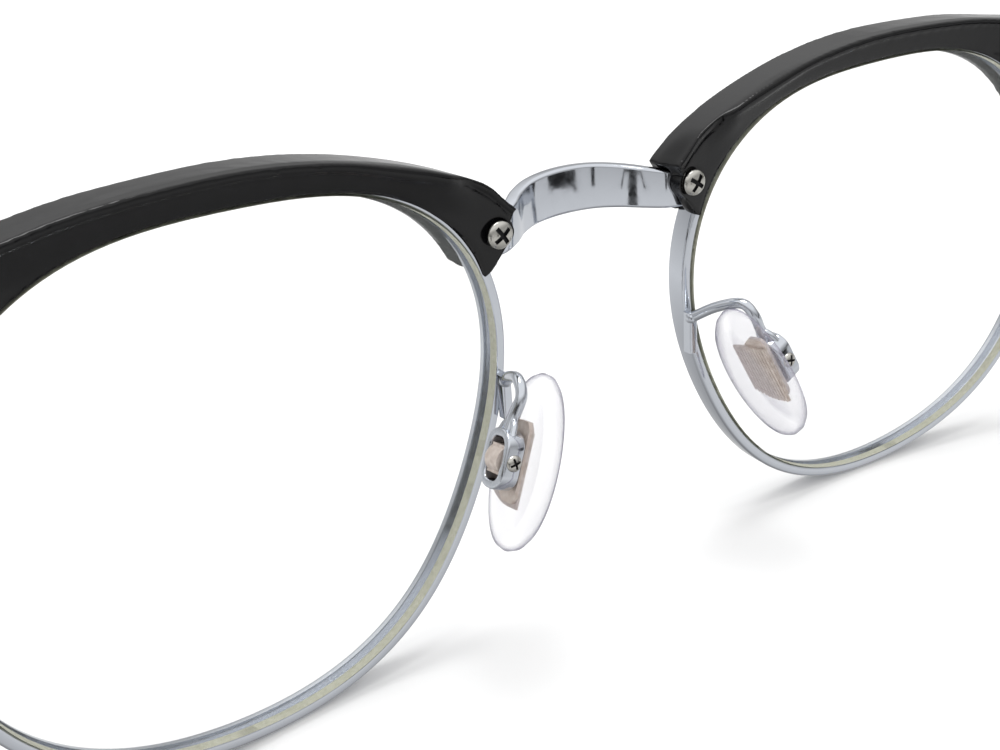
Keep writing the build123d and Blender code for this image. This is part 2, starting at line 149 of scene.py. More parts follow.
# PVC nose pad, moulded and clear: its edges are painted a lavender grey, a painted dark reflection that deepens
# towards grazing angles
padClear, tree, shader, place = newMaterial("clear PVC nose pad, moulded", {
    "Roughness": 0.06, "IOR": 1.42,
})
facing = addNode(tree, "ShaderNodeLayerWeight", {"Blend": 0.5})
# Painted reflection: the colour turns dark lavender grey and less clear where the surface is seen edge on
colourFrom(tree, shader, facing.outputs["Facing"], ((0.1, "E9E7F2"), (0.85, "6E6B84")))
clearness = addNode(tree, "ShaderNodeMapRange", {"From Min": 0.31, "From Max": 0.92, "To Min": 0.04,
                                                 "To Max": 0.9}, {"Value": facing.outputs["Facing"]})
tree.links.new(clearness.outputs["Result"], shader.inputs["Alpha"])
noise, value = spread(tree, place, 2.5, 3, 0.0, 1.0)
bumpFrom(tree, shader, value, 0.03, 0.6)

# Stamped brass insert with a pale nickel flash: beige and satin
insertMetal, tree, shader, place = newMaterial("pale stamped brass insert", {
    "Metallic": 0.35, "Roughness": 0.38,
})
noise, value = spread(tree, place, 0.5, 4, 0.0, 1.0)
colourFrom(tree, shader, noise.outputs["Fac"], ((0.3, "C2B3A8"), (0.7, "DDD2CA")))
bumpFrom(tree, shader, value, 0.006, 0.6)

# The walls and bottom of a cross recess: unpolished, and painted near black as the shade that falls in the slot
recessShade, tree, shader, place = newMaterial("cross recess, painted shade", {
    "Base Color": hexColour("1A1A1C"), "Metallic": 0.6, "Roughness": 0.5,
})
noise, value = spread(tree, place, 0.2, 2, 0.4, 0.6)
tree.links.new(value, shader.inputs["Roughness"])

materialForSlot = {
    "black_acetate": acetate, "chrome_plate": chrome, "steel_screw": screwSteel,
    "nickel_silver": nickelSilver, "clear_lens": lensClear, "clear_pad": padClear,
    "pad_insert_metal": insertMetal,
}
for part in frame["record"]["subparts"]:
    node = nodes[part["node"]]
    node.data.materials.clear()
    node.data.materials.append(materialForSlot[part["material_slot"]])
bodyOf = {}
for body, members in frame["record"]["behaviour"]["bodies"].items():
    for member in members:
        bodyOf[member] = body
print("stage: materials made")

# The curved face that the lenses and rims follow, in millimetres in the front's own frame:
# x to the wearer's left from the middle, y back, z up from the middle of the lenses
face = {"lensWidth": 48.2, "lensHeight": 43.0, "bridgeWidth": 22.4, "meanRadius": 23.1,
        "waves": ((1, 0.51, 0.74), (2, 1.17, -0.47), (3, 0.06, 0.72), (4, -0.45, -0.31)),
        "radius": 162.0, "wrap": 4.5, "pantoscopic": 8.0, "hinge": (63.8, 10.043, 14.0)}
lensX = (face["lensWidth"] + face["bridgeWidth"]) / 2


def rawRadius(angle):
    return face["meanRadius"] + sum(a * cos(n * angle) + b * sin(n * angle)
                                    for n, a, b in face["waves"])


def rawSlope(angle):
    return sum(-n * a * sin(n * angle) + n * b * cos(n * angle) for n, a, b in face["waves"])


turns = [radians(step) for step in range(360)]
rawU = [rawRadius(angle) * cos(angle) for angle in turns]
rawW = [rawRadius(angle) * sin(angle) for angle in turns]
stretchU = face["lensWidth"] / (max(rawU) - min(rawU))
stretchW = face["lensHeight"] / (max(rawW) - min(rawW))
shiftU = -stretchU * (max(rawU) + min(rawU)) / 2
shiftW = -stretchW * (max(rawW) + min(rawW)) / 2


def outline(angle, offset=0.0):
    r = rawRadius(angle)
    slope = rawSlope(angle)
    du = stretchU * (slope * cos(angle) - r * sin(angle))
    dw = stretchW * (slope * sin(angle) + r * cos(angle))
    size = hypot(du, dw)
    u = stretchU * r * cos(angle) + shiftU + offset * dw / size
    w = stretchW * r * sin(angle) + shiftW - offset * du / size
    return u, w


def faceDepth(u, w):
    return face["radius"] - sqrt(face["radius"] ** 2 - u * u - w * w)


# From the front's frame to the row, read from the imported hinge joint
leftHinge = joints["left_temple_fold"]
lean = radians(face["pantoscopic"]) - atan2(leftHinge["axis"][1], leftHinge["axis"][2])
turnBack = Matrix.Rotation(lean, 4, "X")
move = Vector(leftHinge["pos_m"]) * 1000 - turnBack @ Vector(face["hinge"])
frontPlace = Matrix.Scale(0.001, 4) @ Matrix.Translation(move) @ turnBack
lensPlace = frontPlace @ Matrix.Translation((lensX, 0, 0)) @ Matrix.Rotation(radians(face["wrap"]), 4, "Z")
hingePlace = frontPlace @ Matrix.Translation(face["hinge"])
hingePlace = hingePlace @ Matrix.Rotation(-radians(face["pantoscopic"]), 4, "X")
mirrorX = Matrix.Diagonal((-1, 1, 1, 1))
nasalEdge = face["bridgeWidth"] / 2

# The nasal screws: in from the bridge's edge and down from the top of the lens
nasalScrew = {"inset": 0.7, "drop": 7.3, "raise": 0.35, "sizes": (1.2, 0.5, 0.6, 2.7, 0.38)}
nasalX = nasalEdge - nasalScrew["inset"]
nasalZ = face["lensHeight"] / 2 - nasalScrew["drop"]
nasalU = (nasalX - lensX) / cos(radians(face["wrap"]))


# Making pieces
def outwards(mesh):
    work = bmesh.new()
    work.from_mesh(mesh)
    bmesh.ops.remove_doubles(work, verts=work.verts, dist=2e-6)
    bmesh.ops.recalc_face_normals(work, faces=work.faces)
    work.to_mesh(mesh)
    work.free()


def addPiece(name, mesh, material, node, sharpAngle=35.0):
    piece = bpy.data.objects.new(name, mesh)
    bpy.context.scene.collection.objects.link(piece)
    if material is not None:
        mesh.materials.clear()
        mesh.materials.append(material)
    mesh.shade_smooth()
    mesh.set_sharp_from_angle(angle=radians(sharpAngle))
    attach(piece, bodyOf[node])
    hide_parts(node)
    return piece


def addPair(name, mesh, material, node, sharpAngle=35.0):
    # The left piece and its mirror image; node is the CAD node's name without its side
    outwards(mesh)
    other = mesh.copy()
    other.transform(mirrorX)
    other.flip_normals()
    left = addPiece("left_" + name, mesh, material, "left_" + node, sharpAngle)
    right = addPiece("right_" + name, other, material, "right_" + node, sharpAngle)
    return left, right


def joinMeshes(meshes, name):
    work = bmesh.new()
    for mesh in meshes:
        work.from_mesh(mesh)
    result = bpy.data.meshes.new(name)
    work.to_mesh(result)
    work.free()
    return result


def curveObject(name, points, closed):
    data = bpy.data.curves.new(name, "CURVE")
    data.dimensions = "3D"
    spline = data.splines.new("POLY")
    spline.points.add(len(points) - 1)
    for point, co in zip(spline.points, points):
        point.co = (*co, 1)
    spline.use_cyclic_u = closed
    made = bpy.data.objects.new(name, data)
    bpy.context.scene.collection.objects.link(made)
    return made


def bakeTree(source, tree, values):
    # Runs a geometry node tree on an object and gives back the plain mesh
    modifier = source.modifiers.new(tree.name, "NODES")
    modifier.node_group = tree
    for socket, value in values.items():
        modifier[tree.interface.items_tree[socket].identifier] = value
    graph = bpy.context.evaluated_depsgraph_get()
    mesh = bpy.data.meshes.new_from_object(source.evaluated_get(graph), depsgraph=graph)
    bpy.data.objects.remove(source)
    return mesh


def newTree(name, first, sockets):
    tree = bpy.data.node_groups.new(name, "GeometryNodeTree")
    tree.interface.new_socket(first, in_out="INPUT", socket_type="NodeSocketGeometry")
    for label, kind in sockets.items():
        tree.interface.new_socket(label, in_out="INPUT", socket_type="NodeSocket" + kind)
    tree.interface.new_socket("Mesh", in_out="OUTPUT", socket_type="NodeSocketGeometry")
    given = addNode(tree, "NodeGroupInput").outputs
    return tree, given


def endTree(tree, given, shape):
    real = addNode(tree, "GeometryNodeRealizeInstances", {}, {"Geometry": shape})
    painted = addNode(tree, "GeometryNodeSetMaterial", {}, {
        "Geometry": real.outputs["Geometry"], "Material": given["Material"]})
    addNode(tree, "NodeGroupOutput", {}, {"Mesh": painted.outputs["Geometry"]})


# A profile carried along a path, its x to the outside of the path's turn
sweepTree, given = newTree("profile along a path", "Path", {
    "Profile": "Object", "Upright": "Bool", "Material": "Material"})
level = addNode(sweepTree, "GeometryNodeSetCurveNormal", {}, {"Curve": given["Path"]}, mode="Z_UP")
pick = addNode(sweepTree, "GeometryNodeSwitch", {}, {
    "Switch": given["Upright"], "False": given["Path"], "True": level.outputs["Curve"]},
    input_type="GEOMETRY")
info = addNode(sweepTree, "GeometryNodeObjectInfo", {}, {"Object": given["Profile"]})
swept = addNode(sweepTree, "GeometryNodeCurveToMesh", {"Fill Caps": True}, {
    "Curve": pick.outputs["Output"], "Profile Curve": info.outputs["Geometry"]})
endTree(sweepTree, given, swept.outputs["Mesh"])


def sweep(points, profile, closed, upright, material):
    path = curveObject("path", points, closed)
    section = curveObject("profile", [(x, y, 0) for x, y in profile], True)
    mesh = bakeTree(path, sweepTree, {"Profile": section, "Upright": upright, "Material": material})
    bpy.data.objects.remove(section)
    return mesh


def circleProfile(radius, count=16):
    return [(radius * cos(2 * pi * i / count), radius * sin(2 * pi * i / count)) for i in range(count)]


def roundedProfile(width, height, corner, steps=4, notch=None):
    # Rectangle from x 0 to width, centred on y, with rounded corners and maybe a notch at x 0
    points = []
    spots = ((width - corner, height / 2 - corner, 0), (corner, height / 2 - corner, 90),
             (corner, corner - height / 2, 180), (width - corner, corner - height / 2, 270))
    for index, (x, y, start) in enumerate(spots):
        for step in range(steps + 1):
            a = radians(start + 90 * step / steps)
            points.append((x + corner * cos(a), y + corner * sin(a)))
        if notch and index == 1:
            deep, half = notch
            points += [(0, half), (deep, half), (deep, -half), (0, -half)]
    return points


def smoothLine(points, count):
    # Catmull-Rom line through the points
    padded = [2 * Vector(points[0]) - Vector(points[1])] + [Vector(p) for p in points]
    padded.append(2 * padded[-1] - padded[-2])
    line = []
    spans = len(points) - 1
    for i in range(count + 1):
        s = min(i / count * spans, spans - 1e-9)
        k = int(s)
        t = s - k
        a, b, c, d = padded[k:k + 4]
        line.append(0.5 * (2 * b + (c - a) * t + (2 * a - 5 * b + 4 * c - d) * t * t
                           + (3 * b - a - 3 * c + d) * t ** 3))
    return line


# Rims: one rounded wire each, grooved for the lens and cut at the lock
rim = {"thickness": 1.1, "depth": 2.3, "corner": 0.28, "grooveDepth": 0.5, "grooveHalf": 0.5,
       "split": 9.6, "gap": 0.2, "steps": 240}


def angleAt(height):
    best = min(range(900), key=lambda step: abs(outline(radians(step * 0.1))[1] - height))
    return radians(best * 0.1)


startAngle = angleAt(rim["split"] + rim["gap"] / 2)
endAngle = angleAt(rim["split"] - rim["gap"] / 2) + 2 * pi
path = []
for step in range(rim["steps"] + 1):
    u, w = outline(startAngle + (endAngle - startAngle) * step / rim["steps"])
    path.append((u, w, faceDepth(u, w)))
profile = roundedProfile(rim["thickness"], rim["depth"], rim["corner"],
                         notch=(rim["grooveDepth"], rim["grooveHalf"]))
mesh = sweep(path, profile, False, True, chrome)
upToLens = Matrix(((1, 0, 0, 0), (0, 0, 1, 0), (0, 1, 0, 0), (0, 0, 0, 1)))
mesh.transform(lensPlace @ upToLens)
addPair("rim_wire", mesh, chrome, "rim", 40)
print("stage: rims made")


# Copies of CAD nodes: merged, smooth, and softened where the real piece is tumbled
def cadCopy(name, node):
    mesh = nodes[node].data.copy()
    mesh.name = name
    outwards(mesh)
    return mesh


def remeshed(mesh, voxelMm, smoothing):
    work = bpy.data.objects.new("work", mesh)
    bpy.context.scene.collection.objects.link(work)
    remesh = work.modifiers.new("remesh", "REMESH")
    remesh.mode = "VOXEL"
    remesh.voxel_size = voxelMm / 1000
    smooth = work.modifiers.new("smooth", "SMOOTH")
    smooth.iterations = smoothing
    smooth.factor = 0.5
    graph = bpy.context.evaluated_depsgraph_get()
    result = bpy.data.meshes.new_from_object(work.evaluated_get(graph), depsgraph=graph)
    bpy.data.objects.remove(work)
    return result


# Brow bars: the CAD bar with tumbled edges, a raised crest along its top rear edge, and a rear
# face that slopes in towards the lens
brow = {"crown": ((147, 5.7), (142, 4.75), (135, 3.6), (125, 2.75), (112, 2.65), (96, 2.85),
                  (78, 2.85), (65, 3.3), (55, 4.3)),
        "wing": ((24.2, 22.3), (34.2, 20.3)), "rear": 1.8, "crest": 2.05, "crestHeight": 0.7,
        "crestDepth": 2.4, "crestCorner": 0.12, "crestLift": 0.06, "crestDrop": 0.75,
        "crestSpan": (-23.5, 21.0), "crestFade": (-23.5, -19.5),
        "lowDepth": 1.25, "tongueDepth": 1.2, "slope": (0.75, 3.6), "tongueEnd": (-23.2, -19.5),
        "endPiece": (14.0, 20.0), "taper": 0.8, "taperSpan": (-23.2, -26.6),
        "screwClear": (1.2, 1.9), "lipPull": 0.85, "lipWidth": (1.2, 3.2),
        "lipTurn": (116, 140), "voxel": 0.15, "smoothing": 6, "lastSmoothing": 4}
browTop = [outline(radians(angle), rise) for angle, rise in brow["crown"]] + list(brow["wing"])
browLine = smoothLine([(u, w, 0) for u, w in browTop], 160)


def smoothStep(low, high, value):
    t = min(max((value - low) / (high - low), 0), 1)
    return t * t * (3 - 2 * t)


def topHeight(u):
    for a, b in zip(browLine, browLine[1:]):
        if a.x <= u <= b.x:
            return a.y + (b.y - a.y) * (u - a.x) / (b.x - a.x)
    return browLine[0].y if u < browLine[0].x else browLine[-1].y


heights = [topHeight(-30 + 0.1 * step) for step in range(700)]


def browShape():
    bar = cadCopy("bar", "left_brow")
    half = brow["crestHeight"] / 2
    line = [p for p in browLine if brow["crestSpan"][0] < p.x < brow["crestSpan"][1]]
    path = []
    for index, p in enumerate(line):
        before, after = line[max(index - 1, 0)], line[min(index + 1, len(line) - 1)]
        along = (after - before).normalized()
        u = p.x + along.y * (half + brow["crestLift"])
        w = p.y - along.x * (half + brow["crestLift"])
        fade = smoothStep(*brow["crestFade"], u)
        middle = brow["crest"] - brow["crestDepth"] / 2
        path.append((u, w, faceDepth(u, w) + middle - (1 - fade) * brow["crestDrop"]))
    profile = roundedProfile(2 * half, brow["crestDepth"], brow["crestCorner"])
    profile = [(x - half, y) for x, y in profile]
    crest = sweep(path, profile, False, True, acetate)
    crest.transform(lensPlace @ upToLens)
    outwards(crest)
    mesh = remeshed(joinMeshes((bar, crest), "brow"), brow["voxel"], brow["smoothing"])
    toLens = lensPlace.inverted()
    for vertex in mesh.vertices:
        u, y, w = toLens @ vertex.co
        depth = y - faceDepth(u, w)
        if u < -12 and depth > -1.6:
            # The nasal end tapers towards the back, and its rear lip covers the rim
            end = smoothStep(*brow["taperSpan"], u)
            end *= smoothStep(*brow["screwClear"], hypot(u - nasalU, w - nasalZ))
            u += brow["taper"] * smoothStep(-1.5, 1.0, depth) * end
            if depth > 1.16:
                angle = atan2(w, u)
                near = min(range(-8, 9), key=lambda step: hypot(
                    outline(angle + 0.01 * step)[0] - u, outline(angle + 0.01 * step)[1] - w))
                a, b = outline(angle + 0.01 * near)
                far, wide = outline(angle + 0.01 * near, 1.0)
                away = (u - a) * (far - a) + (w - b) * (wide - b)
                if 0 < away < brow["lipWidth"][1]:
                    rise = smoothStep(*brow["lipTurn"], degrees(angle + 0.01 * near))
                    pull = brow["lipPull"] * rise * (1 - smoothStep(*brow["lipWidth"], away))
                    u -= pull * (far - a)
                    w -= pull * (wide - b)
            y = depth + faceDepth(u, w)
            vertex.co = lensPlace @ Vector((u, y, w))
        if depth < brow["lowDepth"] or u > brow["endPiece"][1] or depth > 2.3:
            continue
        below = heights[min(max(int((u + 30) * 10), 0), 699)] - w
        slope = smoothStep(*brow["slope"], below)
        low = brow["lowDepth"] + (brow["rear"] - brow["lowDepth"]) * (1 - slope)
        tongue = 1 - smoothStep(*brow["tongueEnd"], u)
        goal = low + (brow["tongueDepth"] - low) * tongue
        share = smoothStep(brow["lowDepth"], brow["rear"], depth) * (1 - smoothStep(*brow["endPiece"], u))
        if below < brow["slope"][0] and tongue < 0.02:
            continue
        vertex.co = lensPlace @ Vector((u, y - share * (brow["rear"] - goal), w))
    work = bmesh.new()
    work.from_mesh(mesh)
    for turn in range(brow["lastSmoothing"]):
        bmesh.ops.smooth_vert(work, verts=work.verts, factor=0.5, use_axis_x=True, use_axis_y=True,
                              use_axis_z=True)
    work.to_mesh(mesh)
    work.free()
    return mesh


addPair("brow_bar", browShape(), acetate, "brow", 60)
print("stage: brow bars made")

# Bridge: a band bowed forward between the brow ends
bridge = {"height": 4.2, "thickness": 1.2, "bow": 3.9, "middle": 14.5, "topArch": 0.016,
          "lowArch": 0.007, "forward": 0.75, "reach": 11.4, "corner": 0.3}


def slotY(x):
    u = x - lensX
    return u * sin(radians(face["wrap"])) + faceDepth(u, bridge["middle"]) - bridge["forward"]


# Half of the band seen from above: shares of the way out, and of the bow given back
bow = slotY(nasalEdge) - bridge["bow"] + 0.2
half = [(share * nasalEdge, bow + back * bridge["bow"])
        for share, back in ((0, 0), (0.29, 0.1), (0.5, 0.4), (0.65, 0.75))]
half += [(x, slotY(x)) for x in (0.81 * nasalEdge, nasalEdge, bridge["reach"])]
line = smoothLine([(-x, y, 0) for x, y in reversed(half[1:])] + [(x, y, 0) for x, y in half], 120)
section = [(x - bridge["thickness"] / 2, y) for x, y in
           roundedProfile(bridge["thickness"], bridge["height"], bridge["corner"], 5)]
points = []
faces = []
count = len(section)
for index, p in enumerate(line):
    before, after = line[max(index - 1, 0)], line[min(index + 1, len(line) - 1)]
    along = (after - before).normalized()
    high = bridge["middle"] + bridge["height"] / 2 - bridge["topArch"] * p.x ** 2
    low = bridge["middle"] - bridge["height"] / 2 - bridge["lowArch"] * p.x ** 2
    for a, b in section:
        edge = high + b - bridge["height"] / 2 if b > 0 else low + b + bridge["height"] / 2
        points.append((p.x + along.y * a, p.y - along.x * a, edge))
    if index:
        base = (index - 1) * count
        for i in range(count):
            j = (i + 1) % count
            faces.append((base + i, base + j, base + count + j, base + count + i))
faces += [tuple(range(count)), tuple(reversed(range(len(points) - count, len(points))))]
mesh = bpy.data.meshes.new("bridge_band")
mesh.from_pydata(points, [], faces)
mesh.transform(frontPlace)
outwards(mesh)
addPiece("bridge_band", mesh, chrome, "bridge", 40)
print("stage: bridge made")

# Lenses: clear faces, and a ground edge
for side in ("left", "right"):
    mesh = cadCopy(side + "_lens_clear", side + "_lens")
    mesh.materials.clear()
    mesh.materials.append(lensClear)
    mesh.materials.append(lensEdge)
    axis = lensPlace.to_3x3() @ Vector((0, 1, 0))
    if side == "right":
        axis.x = -axis.x
    axis.normalize()
    toLens = (lensPlace if side == "left" else mirrorX @ lensPlace).inverted()
    for polygon in mesh.polygons:
        u, y, w = toLens @ polygon.center
        ground = abs(polygon.normal.dot(axis)) < 0.8 and y - faceDepth(u, w) > 0.47
        polygon.material_index = 1 if ground else 0
    addPiece(side + "_lens_clear", mesh, None, side + "_lens", 30)
print("stage: lenses made")

# Nose pads, in the pad's own frame: x across it, y up along it, z outwards from the nose
pad = {"centre": (13.15, 7.95, -3.4), "long": (0.423, 0.123, -0.898), "normal": (0.90, -0.09, 0.41),
       "length": 15.0, "width": 7.6, "thickness": 2.2, "pivot": 1.3, "boxGap": 0.5,
       "boxLength": 5.0, "boxWidth": 3.4, "boxHeight": 1.7, "wall": 0.7, "wire": 0.5}
padNormal = Vector(pad["normal"]).normalized()
padX = (-Vector(pad["long"]).cross(padNormal)).normalized()
padY = padNormal.cross(padX)
padTurn = Matrix((padX, padY, padNormal)).transposed().to_4x4()
padLocal = Matrix.Translation(pad["centre"]) @ padTurn
padPlace = frontPlace @ padLocal
pivotZ = pad["thickness"] / 2 + pad["pivot"]
boxMid = pad["thickness"] / 2 + pad["boxGap"] + pad["boxHeight"] / 2


def padShape():
    # Oval slab: domed towards the nose, flat behind with a softly raised border
    rows = ((0.0, 1.1), (0.55, 1.02), (0.8, 0.98), (0.9, 1.02), (0.965, 0.82), (1.0, 0.3),
            (0.985, -0.35), (0.93, -0.78), (0.8, -1.0), (0.55, -1.08), (0.0, -1.1))
    around = 56
    points = [(0, 0, rows[0][1])]
    for share, z in rows[1:-1]:
        for i in range(around):
            a = 2 * pi * i / around
            width = pad["width"] / 2 * (1 - 0.05 * sin(a))
            points.append((share * width * cos(a), share * pad["length"] / 2 * sin(a), z))
    points.append((0, 0, rows[-1][1]))
    faces = []
    for i in range(around):
        j = (i + 1) % around
        faces.append((0, 1 + i, 1 + j))
        for row in range(len(rows) - 3):
            a = 1 + row * around
            faces.append((a + i, a + around + i, a + around + j, a + j))
        a = 1 + (len(rows) - 3) * around
        faces.append((a + i, len(points) - 1, a + j))
    mesh = bpy.data.meshes.new("pad")
    mesh.from_pydata(points, [], faces)
    mesh.transform(padPlace)
    return mesh


addPair("pad_clear", padShape(), padClear, "nose_pad", 70)


# Pad box: a rounded loop round the insert's lug
def loopPath(width, length, corner, z):
    points = []
    spots = ((width / 2 - corner, length / 2 - corner, 0), (corner - width / 2, length / 2 - corner, 90),
             (corner - width / 2, corner - length / 2, 180), (width / 2 - corner, corner - length / 2, 270))
    for x, y, start in spots:
        for step in range(9):
            a = radians(start + 90 * step / 8)
            points.append((x + corner * cos(a), y + corner * sin(a), z))
    return points


wall = pad["wall"]
loop = loopPath(pad["boxWidth"] - wall, pad["boxLength"] - wall, 1.1, boxMid)
profile = [(x - wall / 2, y) for x, y in roundedProfile(wall, pad["boxHeight"], 0.2)]
mesh = sweep(loop, profile, True, True, chrome)
mesh.transform(padPlace)
addPair("pad_box_loop", mesh, chrome, "pad_box", 40)

# Pad arm: a wire from the rim, over a bar along the rim's side, to a fork on the box
arm = {"barX": nasalEdge - 0.6, "barY": 1.35, "barZ": -0.4, "barWidth": 0.9, "barDepth": 1.1,
       "barHeight": 4.0, "nub": 0.62, "forkRadius": 0.32, "forkHalf": 1.0,
       "fromRim": ((0.0, 1.55, 1.1), (1.0, 3.8, 2.5)),
       "overPad": ((-0.75, -1.7, 6.7), (-0.25, -0.6, 5.75), (0.55, -0.6, 4.2))}
centre = pad["centre"]
boxTop = padLocal @ Vector((0, pad["boxLength"] / 2 - wall / 2, boxMid))
route = [(arm["barX"] + x, y, z) for x, y, z in arm["fromRim"]]
route += [(centre[0] + x, centre[1] + y, centre[2] + z) for x, y, z in arm["overPad"]]
route.append(tuple(boxTop))
armLine = smoothLine(route, 60)
parts = [sweep(armLine, circleProfile(pad["wire"], 20), False, False, chrome)]
forkStart = armLine[50]
for x in (-arm["forkHalf"], arm["forkHalf"]):
    corner = padLocal @ Vector((x, pad["boxLength"] / 2 - wall / 2 - 0.15, boxMid + 0.2))
    middle = (forkStart + corner) / 2 + (padLocal.to_3x3() @ Vector((0.12 * x, 0.25, 0)))
    parts.append(sweep(smoothLine([forkStart, middle, corner], 14),
                       circleProfile(arm["forkRadius"], 12), False, False, chrome))
ball = bmesh.new()
bmesh.ops.create_uvsphere(ball, u_segments=24, v_segments=14, radius=arm["nub"])
bmesh.ops.translate(ball, verts=ball.verts, vec=route[0])
mesh = bpy.data.meshes.new("nub")
ball.to_mesh(mesh)
ball.free()
parts.append(mesh)
bar = roundedProfile(arm["barWidth"], arm["barDepth"], 0.2)
bar = [(x - arm["barWidth"] / 2, y) for x, y in bar]
low = arm["barZ"] - arm["barHeight"] / 2
post = [(arm["barX"], arm["barY"], low + arm["barHeight"] * i / 8) for i in range(9)]
parts.append(sweep(post, bar, False, False, chrome))
mesh = joinMeshes(parts, "pad_arm")
mesh.transform(frontPlace)
addPair("pad_arm_wire", mesh, chrome, "pad_arm", 45)
print("stage: pads and arms made")

# Insert: a ribbed leaf moulded into the pad, and a smooth lug plate up into the box
insert = {"pitch": 0.36, "ribs": 11, "ribRadius": 0.13, "leafWidth": 4.1, "leafLength": 6.6,
          "leafZ": 0.72, "leafLow": 0.76, "leafHigh": 0.94, "shift": (-0.8, -0.5),
          "plateLow": 0.9, "plateHigh": 1.36, "lugHalf": (0.9, 1.2), "lugRise": 0.7,
          "crownRadius": 1.2, "crownLength": 1.8}


def leafEnds(x):
    # Bottom and top of the leaf at x: the top runs nearly straight, the bottom bulges
    t = (x + insert["leafWidth"] / 2) / insert["leafWidth"]
    curve = sin(pi * min(t * 0.62 + 0.08, 0.5))
    middle = insert["shift"][1]
    return (middle - insert["leafLength"] / 2 * (0.62 + 0.38 * curve),
            middle + insert["leafLength"] / 2 * (0.84 + 0.1 * curve))


ribTree, given = newTree("ribs across a leaf", "Spots", {
    "Rib Radius": "Float", "Material": "Material"})
reach = addNode(ribTree, "GeometryNodeInputNamedAttribute", {"Name": "reach"}, data_type="FLOAT")
rod = addNode(ribTree, "GeometryNodeMeshCylinder", {
    "Vertices": 10, "Depth": 1.0}, {"Radius": given["Rib Radius"]})
laid = addNode(ribTree, "GeometryNodeTransform", {"Rotation": (pi / 2, 0, 0)},
               {"Geometry": rod.outputs["Mesh"]})
size = addNode(ribTree, "ShaderNodeCombineXYZ", {"X": 1.0, "Z": 1.0},
               {"Y": reach.outputs["Attribute"]})
dotted = addNode(ribTree, "GeometryNodeMeshToPoints", {}, {"Mesh": given["Spots"]})
placed = addNode(ribTree, "GeometryNodeInstanceOnPoints", {}, {
    "Points": dotted.outputs["Points"], "Instance": laid.outputs["Geometry"],
    "Scale": size.outputs["Vector"]})
endTree(ribTree, given, placed.outputs["Instances"])


def pointObject(points, values, name):
    mesh = bpy.data.meshes.new("spots")
    mesh.from_pydata(points, [], [])
    kind = "FLOAT_VECTOR" if hasattr(values[0], "__len__") else "FLOAT"
    layer = mesh.attributes.new(name, kind, "POINT")
    for item, value in zip(layer.data, values):
        if kind == "FLOAT":
            item.value = value
        else:
            item.vector = value
    made = bpy.data.objects.new("spots", mesh)
    bpy.context.scene.collection.objects.link(made)
    return made


def slab(edge, low, high, name):
    work = bmesh.new()
    ring = [work.verts.new((x, y, low)) for x, y in edge]
    bottom = work.faces.new(ring)
    grown = bmesh.ops.extrude_face_region(work, geom=[bottom])
    moved = [item for item in grown["geom"] if isinstance(item, bmesh.types.BMVert)]
    bmesh.ops.translate(work, verts=moved, vec=(0, 0, high - low))
    bmesh.ops.recalc_face_normals(work, faces=work.faces)
    mesh = bpy.data.meshes.new(name)
    work.to_mesh(mesh)
    work.free()
    return mesh


ribX = [(i - (insert["ribs"] - 1) / 2) * insert["pitch"] for i in range(insert["ribs"])]
ends = [leafEnds(x) for x in ribX]
spots = pointObject([(x + insert["shift"][0], (low + high) / 2, insert["leafZ"])
                     for x, (low, high) in zip(ribX, ends)], [high - low for low, high in ends], "reach")
ribs = bakeTree(spots, ribTree, {"Rib Radius": insert["ribRadius"], "Material": insertMetal})
leafX = [-insert["leafWidth"] / 2 + insert["leafWidth"] * i / 20 for i in range(21)]
edge = [(x + insert["shift"][0], leafEnds(x)[1]) for x in leafX]
edge += [(x + insert["shift"][0], leafEnds(x)[0]) for x in reversed(leafX)]
leaf = slab(edge, insert["leafLow"], insert["leafHigh"], "leaf")
chamfered = [(-1.3, 2.7), (-0.5, 3.4), (0.9, 3.4), (1.3, 2.8), (1.3, -2.8), (0.9, -3.4), (-0.5, -3.4),
             (-1.3, -2.7)]
plate = slab(chamfered, insert["plateLow"], insert["plateHigh"], "plate")
halfX, halfY = insert["lugHalf"]
lug = slab([(-halfX, -halfY), (halfX, -halfY), (halfX, halfY), (-halfX, halfY)],
           1.3, pivotZ + insert["lugRise"], "lug")
crown = bmesh.new()
bmesh.ops.create_cone(crown, segments=32, radius1=insert["crownRadius"], radius2=insert["crownRadius"],
                      depth=insert["crownLength"], cap_ends=True)
bmesh.ops.rotate(crown, verts=crown.verts, matrix=Matrix.Rotation(pi / 2, 3, "Y"))
bmesh.ops.translate(crown, verts=crown.verts, vec=(0, 0, pivotZ))
crownMesh = bpy.data.meshes.new("crown")
crown.to_mesh(crownMesh)
crown.free()
mesh = joinMeshes((ribs, leaf, plate, lug, crownMesh), "insert")
mesh.transform(padPlace)
addPair("pad_insert_leaf", mesh, insertMetal, "pad_insert", 40)
print("stage: inserts made")

# Screws: domed heads with a cross recess
screwTree, given = newTree("cross recess screws", "Spots", {
    "Head Radius": "Float", "Head Height": "Float", "Shaft Radius": "Float", "Shaft Length": "Float",
    "Recess Width": "Float", "Material": "Material", "Recess Material": "Material"})


def mathNode(tree, operation, a, b):
    node = addNode(tree, "ShaderNodeMath", operation=operation)
    for socket, source in zip(node.inputs, (a, b)):
        if isinstance(source, (int, float)):
            socket.default_value = source
        else:
            tree.links.new(source, socket)
    return node.outputs[0]


def vectorOf(tree, x, y, z):
    node = addNode(tree, "ShaderNodeCombineXYZ")
    for socket, source in zip(node.inputs, (x, y, z)):
        if isinstance(source, (int, float)):
            socket.default_value = source
        else:
            tree.links.new(source, socket)
    return node.outputs[0]


